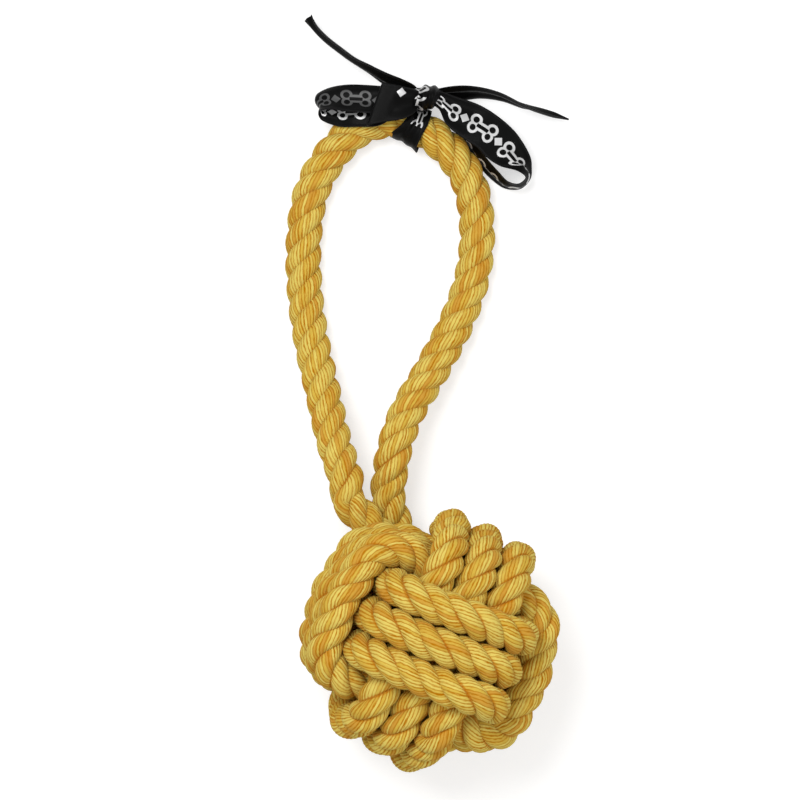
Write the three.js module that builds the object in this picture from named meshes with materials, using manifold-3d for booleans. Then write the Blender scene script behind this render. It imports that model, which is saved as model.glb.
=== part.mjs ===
// Rope dog toy: one length of three-strand cotton rope, tied as a monkey's fist round a hidden ball, with
// both legs of the knot running on into a loop handle. A satin ribbon is tied in a bow at the loop's top.
// Millimetres, +Z up. The toy lies flat: the knot at the origin, the handle along +Y, the bow at its far end.
import * as THREE from "three";
import { mergeVertices } from "three/addons/utils/BufferGeometryUtils.js";
import Module from "manifold-3d";

const wasm = await Module();
wasm.setup();

// Driving dimensions
const BALL_DIAMETER = 46.6; // the ball that the knot is tied round
const BALL_CLEARANCE = 0.4; // between the ball and the innermost turns
const KNOT_ROPE_DIAMETER = 13.8; // the rope where the knot draws it thin
const TURN_GAP = 0.7; // left between neighbouring turns
const TURNS_A_BAND = 3;
const KNOT_TURN_DEGREES = 22; // the knot's own axes against the handle's
const ROPE_DIAMETER = 15; // the rope where it runs free
const FLEX_REACH = 62; // from the knot's centre to where the legs flex
const HANDLE_REACH = 154; // from there to the middle of the rope at the loop's top
const HANDLE_SPAN = 73; // between the two legs at their widest, middle to middle
const HANDLE_SHIFT = -15.5; // the loop's middle line, beside the knot's centre
const LEG_SHIFT = -25; // the middle between the legs where they flex, beside the knot's centre
const LEG_SPACING = 17; // between the legs there, middle to middle
const LEG_STAGGER = 9.4; // the right leg lies this much lower than the left one, which crosses over it
const LEG_DROP = 26.4; // the legs flex this far below the knot's centre
const FLEX_RADIUS = 18; // the round faces between the knot's stubs and the handle
const CLEARANCE = 0.3; // between pieces that touch on the real toy
const BOW_SPAN = 91; // over the two loops of the bow
const RIBBON_WIDTH = 16;
const RIBBON_THICKNESS = 0.6;
const BOW_KNOT_WIDTH = 11;
const BOW_KNOT_DEPTH = 9;
const BOW_KNOT_HEIGHT = 14;
const BOW_KNOT_BED = 2.5; // how deep the collar beds in the back of the bow's knot
const OVERRUN = 20; // how far a cutting solid runs past what it cuts

// Counts and shares of the surfaces
const KNOT_SIDES = 8;
const HANDLE_SIDES = 10;
const COLLAR_SIDES = 16;
const COLLAR_RINGS = 4;
const RINGS_A_TURN = 28;
const RING_STEP_SHARE = 0.6; // between the rings of the handle's rope, of its diameter
const BALL_SEGMENTS = 24;
const BOW_KNOT_SEGMENTS = 16;
const FLEX_SEGMENTS = 48;
const ARC_DIVISIONS = 10; // for each point of a curve, where its length is measured
const ROW_STEPS = 2; // rows of a ribbon's surface for each row of its shares
const MERGE_SHARE = 1e-6; // corners nearer than this are one, of the rope's diameter
const FLOOR_CUT_SHARE = 0.1; // a rope's flat where it lies, of its diameter
const SQUARENESS = 3; // 2 makes a band's turns elliptical, more makes them boxy
const CORE_SQUARENESS = 2.3; // the same for the space that the innermost turns bed on

const turnStep = KNOT_ROPE_DIAMETER + TURN_GAP;
const ballRadius = BALL_DIAMETER / 2;
const coreReach = ballRadius + BALL_CLEARANCE + KNOT_ROPE_DIAMETER / 2; // to the innermost turns' middle line
const outerReach = coreReach + turnStep; // to the outer turns' middle line
const fistDiameter = 2 * outerReach + KNOT_ROPE_DIAMETER;

const knotTurn = THREE.MathUtils.degToRad(KNOT_TURN_DEGREES);
const along = new THREE.Vector3(Math.cos(knotTurn), -Math.sin(knotTurn), 0);
const across = new THREE.Vector3(Math.sin(knotTurn), Math.cos(knotTurn), 0);
const up = new THREE.Vector3(0, 0, 1);

// The knot's route: three bands of turns, each square to the others, drawn tight on each other

const KNEAD_STEP_SHARE = 0.35; // between the points of the route, of the step from turn to turn
const OWN_REACH_SHARE = 1.7; // points of the rope nearer along it than this, of that step, never part
const PUSH_SHARE = 1.25; // more than 1 hurries the parting
const HELD_POINTS = 2; // at each end of a route
const SIDE_BAND_FALL = 0.6; // the band round the sides starts lower on the right by this share of its reach
const LEG_IN_SHARE = 1; // the winding's leg runs straight in this far, of the rope's diameter
const CORE_LEG_IN_SHARE = 0.5;
// Where a band's winding starts and ends, in turns from its long axis, and its shift sideways, in steps.
const FIRST_BAND = { fromTurn: -0.15, toTurn: -TURNS_A_BAND - 0.1, shiftShare: 0 };
const CROSSING_BAND = { fromTurn: 0.4, toTurn: TURNS_A_BAND + 0.3, shiftShare: -0.15 };
const SIDE_BAND = { fromTurn: -0.2, toTurn: -TURNS_A_BAND - 0.08, shiftShare: 0.1 };
const ROUNDS_A_SPACING = 10;
const TIGHTENING = { rounds: 80, pullShare: 0.5 };
const EASING = { rounds: 200, pullShare: 0.01 };
const kneadStep = turnStep * KNEAD_STEP_SHARE;

function squared(value) {
  return Math.sign(value) * Math.abs(value) ** (2 / SQUARENESS);
}

// A band's turns lie on the outside at the ends of its long axis and bed on the core at its short one.
function bandRoute(long, short, sideways, { fromTurn, toTurn, shiftShare }) {
  const count = Math.round(RINGS_A_TURN * Math.abs(toTurn - fromTurn));
  const route = [];
  for (let i = 0; i <= count; i++) {
    const share = i / count;
    const angle = 2 * Math.PI * THREE.MathUtils.lerp(fromTurn, toTurn, share);
    const offset = turnStep * (TURNS_A_BAND * (share - 0.5) + shiftShare);
    const point = new THREE.Vector3().addScaledVector(sideways, offset);
    point.addScaledVector(long, outerReach * squared(Math.cos(angle)));
    point.addScaledVector(short, coreReach * squared(Math.sin(angle)));
    route.push(point);
  }
  return route;
}

function evenly(points, length) {
  const curve = new THREE.CatmullRomCurve3(points, false, "centripetal");
  curve.arcLengthDivisions = points.length * ARC_DIVISIONS;
  return curve.getSpacedPoints(Math.round(curve.getLength() / length));
}

// The innermost turns bed on a rounded cube: no point of the rope's middle line lies inside it.
function bedOnCore(point) {
  const cube = [along, across, up].map((axis) => Math.abs(point.dot(axis)) ** CORE_SQUARENESS);
  const reach = (cube[0] + cube[1] + cube[2]) ** (1 / CORE_SQUARENESS);
  if (reach < coreReach) point.multiplyScalar(coreReach / reach);
}

// Two points of the rope that lie nearer than the turns can are pushed apart, each by half.
function pushApart(points, routeOf, held) {
  const reach = Math.hypot(turnStep, kneadStep * Math.SQRT1_2);
  const near = Math.ceil(OWN_REACH_SHARE / KNEAD_STEP_SHARE);
  const pushes = points.map(() => new THREE.Vector3());
  const touches = points.map(() => 0);
  const between = new THREE.Vector3();
  for (let i = 0; i < points.length; i++) {
    for (let j = i + 1; j < points.length; j++) {
      if (routeOf[i] === routeOf[j] && j - i < near) continue;
      between.subVectors(points[j], points[i]);
      const distance = between.length();
      if (distance >= reach) continue;
      between.multiplyScalar((reach - distance) / distance / 2);
      pushes[i].sub(between);
      pushes[j].add(between);
      touches[i] += 1;
      touches[j] += 1;
    }
  }
  points.forEach((point, i) => {
    if (!held[i] && touches[i] > 0) point.addScaledVector(pushes[i], PUSH_SHARE / touches[i]);
  });
}

function drawIn(points, routeOf, held, pullShare) {
  const before = points.map((point) => point.clone());
  points.forEach((point, i) => {
    if (held[i] || routeOf[i - 1] !== routeOf[i] || routeOf[i + 1] !== routeOf[i]) return;
    const middle = before[i - 1].clone().add(before[i + 1]).divideScalar(2);
    point.lerp(middle, pullShare);
  });
}

// The outer turns lie on the floor all three, and press the turns under them in.
function lieOnFloor(point) {
  point.z = Math.max(point.z, -outerReach);
}

// Draws both lengths of rope tight, keeps them apart, and spaces their points evenly now and then.
function settle(routes, { rounds, pullShare }) {
  let settled = routes;
  for (let round = 1; round <= rounds; round++) {
    const points = settled.flat();
    const routeOf = settled.flatMap((route, k) => route.map(() => k));
    const held = settled.flatMap(({ length }) =>
      Array.from({ length }, (_, i) => Math.min(i, length - 1 - i) < HELD_POINTS),
    );
    drawIn(points, routeOf, held, pullShare);
    pushApart(points, routeOf, held);
    points.forEach((point, i) => {
      if (held[i]) return;
      bedOnCore(point);
      lieOnFloor(point);
    });
    if (round % ROUNDS_A_SPACING === 0) {
      settled = settled.map((route) => {
        const spaced = evenly(route, kneadStep);
        spaced[1].copy(route[1]);
        spaced[spaced.length - 2].copy(route[route.length - 2]);
        return spaced;
      });
    }
  }
  return settled;
}

// Where the rope's ends go in to the ball, between the three bands: straight in at a corner of the knot.
function inward(corner) {
  return [outerReach, coreReach, ballRadius + CLEARANCE].map((reach) => corner.clone().multiplyScalar(reach));
}

// A leg from where it flexes, straight in towards the knot for the given share of the rope's diameter.
function legRoute(side, inwardShare) {
  const start = new THREE.Vector3(LEG_SHIFT, FLEX_REACH, -LEG_DROP);
  start.x += (side * LEG_SPACING) / 2;
  start.z -= (side * LEG_STAGGER) / 2;
  const end = start.clone();
  end.y -= KNOT_ROPE_DIAMETER * inwardShare;
  return [start, end];
}

// The right leg runs in at the lower corner and on through all three bands to the upper corner.
const lowerCorner = new THREE.Vector3().sub(along).add(across).sub(up).normalize();
const upperCorner = lowerCorner.clone().negate();
const leaning = along.clone().addScaledVector(up, -SIDE_BAND_FALL);
const windingSeed = [
  ...legRoute(1, LEG_IN_SHARE),
  ...bandRoute(across, up, along, FIRST_BAND),
  ...bandRoute(up, along, across.clone().negate(), CROSSING_BAND),
  ...bandRoute(leaning, across, up, SIDE_BAND),
  ...inward(upperCorner),
];
// The left leg runs straight in at the lower corner.
const coreLegSeed = [...legRoute(-1, CORE_LEG_IN_SHARE), ...inward(lowerCorner)];
const seeds = [evenly(windingSeed, kneadStep), evenly(coreLegSeed, kneadStep)];
const [windingRoute, coreLegRoute] = settle(settle(seeds, TIGHTENING), EASING);

// Solids

function solidOf(geometry) {
  const bare = new THREE.BufferGeometry();
  bare.setAttribute("position", geometry.getAttribute("position"));
  if (geometry.index) bare.setIndex(geometry.index);
  const merged = mergeVertices(bare, ROPE_DIAMETER * MERGE_SHARE);
  const vertProperties = Float32Array.from(merged.getAttribute("position").array);
  const triVerts = Uint32Array.from(merged.index.array);
  return new wasm.Manifold(new wasm.Mesh({ numProp: 3, vertProperties, triVerts }));
}

function geometryOf(solid) {
  const mesh = solid.getMesh();
  const geometry = new THREE.BufferGeometry();
  geometry.setAttribute("position", new THREE.BufferAttribute(mesh.vertProperties, 3));
  geometry.setIndex(new THREE.BufferAttribute(mesh.triVerts, 1));
  return geometry;
}

function sectionOf(radius, sides) {
  const corners = [];
  for (let i = 0; i < sides; i++) {
    const angle = (2 * Math.PI * i) / sides;
    corners.push(new THREE.Vector2(radius * Math.cos(angle), radius * Math.sin(angle)));
  }
  return new THREE.Shape(corners);
}

function sweep(section, points, step) {
  const extrudePath = new THREE.CatmullRomCurve3(points, false, "centripetal");
  extrudePath.arcLengthDivisions = points.length * ARC_DIVISIONS;
  const steps = Math.ceil(extrudePath.getLength() / step);
  return solidOf(new THREE.ExtrudeGeometry(section, { steps, extrudePath, bevelEnabled: false }));
}

function boxOf(low, high) {
  const size = high.clone().sub(low);
  const geometry = new THREE.BoxGeometry(size.x, size.y, size.z);
  const middle = low.clone().add(high).divideScalar(2);
  return solidOf(geometry.translate(middle.x, middle.y, middle.z));
}

// The floor, and the point of the knot's underside nearest its middle, which is the part's origin

const lowest = Math.min(...windingRoute.map((point) => point.z));
const floor = lowest - KNOT_ROPE_DIAMETER * (0.5 - FLOOR_CUT_SHARE);
const underside = windingRoute.filter((point) => point.z < lowest + KNOT_ROPE_DIAMETER * FLOOR_CUT_SHARE);
underside.sort((a, b) => Math.hypot(a.x, a.y) - Math.hypot(b.x, b.y));
const restPoint = new THREE.Vector3(underside[0].x, underside[0].y, floor);

const worldReach = FLEX_REACH + HANDLE_REACH + fistDiameter;
const belowFloor = boxOf(
  new THREE.Vector3(-worldReach, -worldReach, floor - OVERRUN),
  new THREE.Vector3(worldReach, worldReach, floor),
);

// The flex between knot and handle: a cylinder along X, round which the handle turns

const flexPoint = new THREE.Vector3(LEG_SHIFT, FLEX_REACH, -LEG_DROP);
const flexWidth = LEG_SPACING + 2 * ROPE_DIAMETER;

function flexCylinder(radius) {
  const geometry = new THREE.CylinderGeometry(radius, radius, flexWidth, FLEX_SEGMENTS);
  geometry.rotateZ(Math.PI / 2);
  return solidOf(geometry.translate(flexPoint.x, flexPoint.y, flexPoint.z));
}

// Knot

function knotRope(route) {
  const step = (Math.PI * (coreReach + outerReach)) / RINGS_A_TURN;
  return sweep(sectionOf(KNOT_ROPE_DIAMETER / 2, KNOT_SIDES), route, step);
}

function fistWinding() {
  const rope = knotRope(windingRoute);
  return rope.subtract(flexCylinder(FLEX_RADIUS + CLEARANCE)).subtract(belowFloor);
}

function coreLeg() {
  return knotRope(coreLegRoute).subtract(flexCylinder(FLEX_RADIUS + CLEARANCE));
}

function coreBall() {
  return solidOf(new THREE.SphereGeometry(ballRadius, BALL_SEGMENTS, BALL_SEGMENTS / 2));
}

// Handle: one rope from the left leg's flex round the loop to the right leg's, lying on the floor

// Across, along, height of the leg's fall to the floor, lift under the bow.
const handleShares = [
  [-0.327, 0.128, 0.8, 0],
  [-0.39, 0.258, 0.44, 0],
  [-0.456, 0.398, 0.14, 0],
  [-0.495, 0.534, 0, 0],
  [-0.501, 0.669, 0, 0],
  [-0.456, 0.804, 0, 0.2],
  [-0.341, 0.904, 0, 0.8],
  [-0.176, 0.977, 0, 1],
  [0.007, 0.999, 0, 1],
  [0.167, 0.977, 0, 1],
  [0.321, 0.923, 0, 0.8],
  [0.435, 0.848, 0, 0.2],
  [0.492, 0.737, 0, 0],
  [0.481, 0.601, 0, 0],
  [0.395, 0.466, 0.1, 0],
  [0.235, 0.317, 0.34, 0],
  [0.087, 0.195, 0.66, 0],
  [0.013, 0.087, 0.88, 0],
];
const lyingHeight = floor + ROPE_DIAMETER * (0.5 - FLOOR_CUT_SHARE);
const bowLift = ROPE_DIAMETER * FLOOR_CUT_SHARE + CLEARANCE + RIBBON_THICKNESS;

function handlePoint([sideShare, reachShare, fallShare, liftShare]) {
  const height = THREE.MathUtils.lerp(lyingHeight, -LEG_DROP, fallShare);
  return new THREE.Vector3(
    HANDLE_SHIFT + sideShare * HANDLE_SPAN,
    FLEX_REACH + reachShare * HANDLE_REACH,
    height + liftShare * bowLift,
  );
}

// The legs inside the flex follow the knot's own routes, so that knot and handle meet on one line.
function flexEnd(route) {
  return route.slice(0, Math.ceil((FLEX_RADIUS + ROPE_DIAMETER) / kneadStep));
}

const handleRoute = [
  ...flexEnd(coreLegRoute).reverse(),
  ...handleShares.map(handlePoint),
  ...flexEnd(windingRoute),
];

function handleRope(radius) {
  return sweep(sectionOf(radius, HANDLE_SIDES), handleRoute, ROPE_DIAMETER * RING_STEP_SHARE);
}

function handleLoop() {
  const low = new THREE.Vector3(-worldReach, -worldReach, -worldReach);
  const knotSide = boxOf(low, new THREE.Vector3(worldReach, flexPoint.y, worldReach));
  const outsideFlex = knotSide.subtract(flexCylinder(FLEX_RADIUS));
  return handleRope(ROPE_DIAMETER / 2).subtract(outsideFlex).subtract(belowFloor);
}

// Ribbon: a collar round the rope, the bow's knot beside it, two loops, two tails and the fold over the knot

const BOW_PLACE_SHARE = 0.515; // the collar's middle, along the handle's rope
const BOW_KNOT_SIDE_SHARE = 0.34; // the bow's knot beside the collar's middle, of the ribbon's width
const BOW_KNOT_LIFT_SHARE = 0.79; // its middle above the floor, of the height that the rope gives the bow
const COLLAR_WIDTH_SHARE = 0.85; // the ribbon is gathered a little where it goes round the rope

const handleCurve = new THREE.CatmullRomCurve3(handleRoute, false, "centripetal");
handleCurve.arcLengthDivisions = handleRoute.length * ARC_DIVISIONS;
const handleLength = handleCurve.getLength();
const collarMiddle = handleCurve.getPointAt(BOW_PLACE_SHARE);
const bowRise = CLEARANCE + RIBBON_THICKNESS + ROPE_DIAMETER;
const collarInner = ROPE_DIAMETER / 2 + CLEARANCE;
const collarOuter = collarInner + RIBBON_THICKNESS;
const bowKnotPoint = new THREE.Vector3(
  collarMiddle.x + RIBBON_WIDTH * BOW_KNOT_SIDE_SHARE,
  collarMiddle.y + collarOuter + CLEARANCE + BOW_KNOT_DEPTH / 2 - BOW_KNOT_BED,
  floor + bowRise * BOW_KNOT_LIFT_SHARE,
);

function collarSleeve(radius) {
  const widthShare = (RIBBON_WIDTH * COLLAR_WIDTH_SHARE) / handleLength;
  const points = [];
  for (let i = 0; i <= COLLAR_RINGS; i++) {
    points.push(handleCurve.getPointAt(BOW_PLACE_SHARE + (i / COLLAR_RINGS - 0.5) * widthShare));
  }
  return sweep(sectionOf(radius, COLLAR_SIDES), points, RIBBON_WIDTH / COLLAR_RINGS);
}

function collar() {
  return collarSleeve(collarOuter).subtract(handleRope(collarInner)).subtract(belowFloor);
}

function bowKnotSolid(margin) {
  const geometry = new THREE.SphereGeometry(1, BOW_KNOT_SEGMENTS, BOW_KNOT_SEGMENTS / 2);
  geometry.scale(BOW_KNOT_WIDTH / 2 + margin, BOW_KNOT_DEPTH / 2 + margin, BOW_KNOT_HEIGHT / 2 + margin);
  return solidOf(geometry.translate(bowKnotPoint.x, bowKnotPoint.y, bowKnotPoint.z));
}

function bowKnot() {
  return bowKnotSolid(0).subtract(collarSleeve(collarOuter + CLEARANCE));
}

// A ribbon's row: the middle of its width, across and along as shares of the bow's span and up as a share
// of the rope's height under the bow, then the ribbon's breadth there as shares of its full width.
const leftLoopShares = [
  [[-0.037, -0.011, 1.01], [0.05, 0.23, 0.00]],
  [[-0.082, -0.016, 1.18], [0.05, 0.47, 0.00]],
  [[-0.137, -0.026, 1.27], [0.00, 0.76, 0.00]],
  [[-0.252, -0.030, 1.29], [0.00, 0.88, -0.06]],
  [[-0.364, -0.030, 1.19], [-0.03, 0.87, -0.03]],
  [[-0.445, -0.038, 0.95], [-0.06, 0.72, 0.06]],
  [[-0.491, -0.052, 0.75], [-0.08, 0.50, 0.09]],
  [[-0.482, -0.064, 0.64], [-0.08, 0.50, 0.00]],
  [[-0.403, -0.064, 0.80], [-0.05, 0.72, -0.16]],
  [[-0.318, -0.058, 0.98], [-0.03, 0.82, -0.24]],
  [[-0.208, -0.050, 1.05], [-0.03, 0.80, -0.16]],
  [[-0.110, -0.019, 0.98], [0.05, 0.47, -0.12]],
  [[-0.044, -0.023, 0.82], [0.03, 0.21, -0.06]],
];
const rightLoopShares = [
  [[0.025, -0.005, 1.07], [0.03, 0.26, 0.00]],
  [[0.066, -0.011, 1.18], [0.03, 0.44, 0.03]],
  [[0.124, -0.060, 1.19], [0.26, 0.73, 0.01]],
  [[0.220, -0.112, 1.13], [0.47, 0.86, -0.06]],
  [[0.295, -0.160, 1.08], [0.60, 0.78, -0.16]],
  [[0.359, -0.222, 1.01], [0.76, 0.65, -0.19]],
  [[0.416, -0.288, 0.87], [0.80, 0.26, -0.20]],
  [[0.463, -0.327, 0.74], [0.36, 0.10, -0.62]],
  [[0.477, -0.366, 0.62], [0.13, -0.02, -0.82]],
  [[0.440, -0.403, 0.58], [0.06, -0.10, -0.88]],
  [[0.380, -0.398, 0.56], [-0.06, -0.15, -0.90]],
  [[0.328, -0.357, 0.54], [-0.14, -0.19, -0.86]],
  [[0.273, -0.297, 0.51], [-0.18, -0.18, -0.79]],
  [[0.220, -0.220, 0.49], [-0.16, -0.12, -0.78]],
  [[0.172, -0.153, 0.49], [-0.12, -0.10, -0.77]],
  [[0.119, -0.094, 0.50], [-0.05, -0.08, -0.75]],
  [[0.076, -0.044, 0.53], [-0.03, -0.08, -0.69]],
  [[0.037, -0.014, 0.60], [0.00, -0.05, -0.44]],
];
const leftTailShares = [
  [[-0.027, 0.016, 0.72], [-0.05, -0.18, -0.44]],
  [[-0.057, 0.034, 0.66], [-0.08, -0.29, -0.69]],
  [[-0.114, 0.060, 0.63], [-0.10, -0.31, -0.75]],
  [[-0.181, 0.092, 0.60], [-0.08, -0.26, -0.81]],
  [[-0.256, 0.137, 0.60], [-0.05, -0.16, -0.88]],
  [[-0.323, 0.174, 0.58], [-0.03, -0.10, -0.91]],
  [[-0.389, 0.222, 0.57], [-0.05, -0.08, -0.88]],
  [[-0.456, 0.275, 0.53], [-0.03, -0.10, -0.81]],
  [[-0.506, 0.327, 0.47], [-0.08, -0.08, -0.69]],
  [[-0.538, 0.375, 0.41], [-0.19, -0.15, -0.36]],
];
const rightTailShares = [
  [[0.023, 0.016, 0.72], [0.00, -0.13, -0.44]],
  [[0.060, 0.021, 0.69], [0.00, -0.23, -0.62]],
  [[0.158, 0.025, 0.72], [0.08, -0.34, -0.81]],
  [[0.252, 0.027, 0.74], [0.10, -0.26, -0.91]],
  [[0.357, 0.007, 0.71], [0.10, -0.18, -0.91]],
  [[0.451, -0.032, 0.68], [0.03, -0.05, -0.91]],
  [[0.552, -0.060, 0.58], [0.03, 0.13, -0.80]],
  [[0.664, -0.094, 0.44], [-0.02, 0.02, -0.12]],
];
const foldShares = [
  [[-0.020, -0.006, 1.20], [0.03, 0.31, 0.00]],
  [[-0.049, -0.019, 1.36], [0.05, 0.64, 0.01]],
  [[-0.095, -0.027, 1.45], [0.10, 0.83, 0.03]],
  [[-0.162, -0.028, 1.45], [0.29, 0.98, 0.04]],
  [[-0.227, -0.031, 1.41], [0.40, 1.12, 0.03]],
];

function ribbonRow([middleShares, breadthShares]) {
  const middle = new THREE.Vector3(
    bowKnotPoint.x + middleShares[0] * BOW_SPAN,
    bowKnotPoint.y + middleShares[1] * BOW_SPAN,
    floor + middleShares[2] * bowRise,
  );
  const half = new THREE.Vector3(...breadthShares).multiplyScalar(RIBBON_WIDTH / 2);
  return [middle.clone().add(half), middle.clone().sub(half)];
}

// A strip of even thickness between two smooth edges: four corners a row, joined row to row, closed at
// both ends.
function ribbonStrip(rowShares) {
  const rows = rowShares.map(ribbonRow);
  const edges = [0, 1].map((side) => new THREE.CatmullRomCurve3(rows.map((row) => row[side])));
  const steps = rowShares.length * ROW_STEPS;
  const corners = [];
  for (let i = 0; i <= steps; i++) {
    const [left, right] = edges.map((edge) => edge.getPoint(i / steps));
    const run = edges[0].getTangent(i / steps).add(edges[1].getTangent(i / steps));
    const face = run.cross(left.clone().sub(right)).setLength(RIBBON_THICKNESS / 2);
    corners.push(left.clone().add(face), right.clone().add(face));
    corners.push(right.clone().sub(face), left.clone().sub(face));
  }
  const index = [];
  for (let i = 0; i < steps; i++) {
    for (let k = 0; k < 4; k++) {
      const [a, b] = [4 * i + k, 4 * i + ((k + 1) % 4)];
      index.push(a, b, b + 4, a, b + 4, a + 4);
    }
  }
  const last = 4 * steps;
  index.push(0, 2, 1, 0, 3, 2, last, last + 1, last + 2, last, last + 2, last + 3);
  const geometry = new THREE.BufferGeometry().setFromPoints(corners).setIndex(index);
  return solidOf(geometry);
}

function ribbonPiece(rowShares) {
  const strip = ribbonStrip(rowShares).subtract(bowKnotSolid(CLEARANCE));
  return strip.subtract(handleRope(collarInner)).subtract(collarSleeve(collarOuter + CLEARANCE));
}

// Every piece, placed so that the origin lies on the floor under the knot

const cotton = new THREE.MeshStandardMaterial({ color: 0xdfb045, roughness: 0.9, metalness: 0 });
const rubber = new THREE.MeshStandardMaterial({ color: 0x8a7a5c, roughness: 0.8, metalness: 0 });
const satin = new THREE.MeshStandardMaterial({ color: 0x17181b, roughness: 0.35, metalness: 0 });

const pieces = [
  ["core_ball", coreBall(), rubber],
  ["core_leg", coreLeg(), cotton],
  ["fist_winding", fistWinding(), cotton],
  ["handle_loop", handleLoop(), cotton],
  ["ribbon_collar", collar(), satin],
  ["ribbon_knot", bowKnot(), satin],
  ["bow_loop_left", ribbonPiece(leftLoopShares), satin],
  ["bow_loop_right", ribbonPiece(rightLoopShares), satin],
  ["bow_fold", ribbonPiece(foldShares), satin],
  ["ribbon_tail_left", ribbonPiece(leftTailShares), satin],
  ["ribbon_tail_right", ribbonPiece(rightTailShares), satin],
];

const group = new THREE.Group();
group.name = "rope_dog_toy";
for (const [name, solid, material] of pieces) {
  const mesh = new THREE.Mesh(geometryOf(solid), material);
  mesh.name = name;
  group.add(mesh);
}
group.position.copy(restPoint).negate();

// The least gap of the rope to itself in the knot, measured on points along its middle line

function leastGap(routes) {
  const fineness = 8;
  const points = routes.map((route) => evenly(route, turnStep / fineness));
  let least = Infinity;
  points.forEach((route, k) => {
    points.slice(k).forEach((other, m) => {
      route.forEach((point, i) => {
        for (let j = m === 0 ? i + 2 * fineness : 0; j < other.length; j++) {
          least = Math.min(least, point.distanceTo(other[j]));
        }
      });
    });
  });
  return least - KNOT_ROPE_DIAMETER;
}

const gap = leastGap([windingRoute, coreLegRoute]);
const knotLength = evenly(windingRoute, kneadStep).length * kneadStep;
const flex = flexPoint.clone().sub(restPoint).toArray();
console.log(`least gap of the rope to itself in the knot: ${gap.toFixed(2)} mm`);
console.log(`rope in the knot ${knotLength.toFixed(0)} mm, in the handle ${handleLength.toFixed(0)} mm`);
console.log(`the handle flexes about X through ${flex.map((value) => value.toFixed(2)).join(", ")} mm`);

export default group;
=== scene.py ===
# Rope dog toy: a monkey's fist tied in three-strand cotton rope, with a loop handle and a ribbon bow.
# Sizes are in millimetres, as on the CAD side, until the meshes are made. The toy lies flat on the floor.
import math

import bpy
import numpy as np
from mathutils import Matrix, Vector


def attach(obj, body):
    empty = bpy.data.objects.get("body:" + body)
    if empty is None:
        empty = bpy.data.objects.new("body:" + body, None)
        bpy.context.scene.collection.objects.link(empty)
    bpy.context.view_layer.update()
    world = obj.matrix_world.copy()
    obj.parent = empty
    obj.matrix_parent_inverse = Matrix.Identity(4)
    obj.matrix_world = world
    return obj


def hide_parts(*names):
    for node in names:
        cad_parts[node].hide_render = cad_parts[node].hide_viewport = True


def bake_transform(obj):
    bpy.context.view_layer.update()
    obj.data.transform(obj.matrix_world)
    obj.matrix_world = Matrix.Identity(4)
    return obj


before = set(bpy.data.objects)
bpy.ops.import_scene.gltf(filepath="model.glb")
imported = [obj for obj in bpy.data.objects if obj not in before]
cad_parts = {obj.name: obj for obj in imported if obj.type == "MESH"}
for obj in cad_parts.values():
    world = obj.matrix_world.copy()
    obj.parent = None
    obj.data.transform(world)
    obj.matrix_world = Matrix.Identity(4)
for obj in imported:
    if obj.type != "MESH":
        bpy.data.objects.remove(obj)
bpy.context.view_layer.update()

MM = 0.001
TAU = 2 * math.pi

# Camera: straight above the toy, far enough away that heights hardly change the scale

PHOTO_MIDDLE = (-13.3, 91.1)  # the point of the floor at the middle of the photograph
PHOTO_WIDTH = 333.3  # the photograph shows this much of the floor, from side to side
SCALE_HEIGHT = 30  # the photograph's scale is taken at this height
CAMERA_HEIGHT = 3000
SENSOR_WIDTH = 36


def make_camera():
    data = bpy.data.cameras.new("camera")
    data.sensor_width = SENSOR_WIDTH
    data.lens = SENSOR_WIDTH * (CAMERA_HEIGHT - SCALE_HEIGHT) / PHOTO_WIDTH
    data.clip_end = 2 * CAMERA_HEIGHT * MM
    camera = bpy.data.objects.new("camera", data)
    camera.location = (PHOTO_MIDDLE[0] * MM, PHOTO_MIDDLE[1] * MM, CAMERA_HEIGHT * MM)
    bpy.context.collection.objects.link(camera)
    bpy.context.scene.camera = camera


make_camera()

# The rope's sizes, as on the CAD side

BALL_DIAMETER = 46.6  # the ball that the knot is tied round
BALL_CLEARANCE = 0.4  # between the ball and the innermost turns
KNOT_ROPE_DIAMETER = 13.8  # the rope where the knot draws it thin
TURN_GAP = 0.7  # left between neighbouring turns
TURNS_A_BAND = 3
KNOT_TURN = math.radians(22)  # the knot's own axes against the handle's
ROPE_DIAMETER = 15  # the rope where it runs free
FLEX_REACH = 62  # from the knot's centre to where the legs flex
HANDLE_REACH = 154  # from there to the middle of the rope at the loop's top
HANDLE_SPAN = 73  # between the two legs at their widest, middle to middle
HANDLE_SHIFT = -15.5  # the loop's middle line, beside the knot's centre
LEG_SHIFT = -25  # the middle between the legs where they flex, beside the knot's centre
LEG_SPACING = 17  # between the legs there, middle to middle
LEG_STAGGER = 9.4  # the right leg lies this much lower than the left one, which crosses over it
LEG_DROP = 26.4  # the legs flex this far below the knot's centre
FLEX_RADIUS = 18  # the rope bends within this distance of the hinge
CLEARANCE = 0.3  # between pieces that touch on the real toy
RIBBON_THICKNESS = 0.6  # of the ribbon's solids
RINGS_A_TURN = 28
ARC_DIVISIONS = 10  # for each point of a curve, where its length is measured
FLOOR_CUT_SHARE = 0.1  # a rope's flat where it lies, of its diameter
SQUARENESS = 3  # 2 makes a band's turns elliptical, more makes them boxy
CORE_SQUARENESS = 2.3  # the same for the space that the innermost turns bed on

turn_step = KNOT_ROPE_DIAMETER + TURN_GAP
core_reach = BALL_DIAMETER / 2 + BALL_CLEARANCE + KNOT_ROPE_DIAMETER / 2
outer_reach = core_reach + turn_step
along = np.array([math.cos(KNOT_TURN), -math.sin(KNOT_TURN), 0])
across = np.array([math.sin(KNOT_TURN), math.cos(KNOT_TURN), 0])
up = np.array([0, 0, 1.0])

# Smooth curves through points, of even speed where the points are uneven


def unit(vectors):
    return vectors / np.linalg.norm(vectors, axis=-1, keepdims=True)


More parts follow.
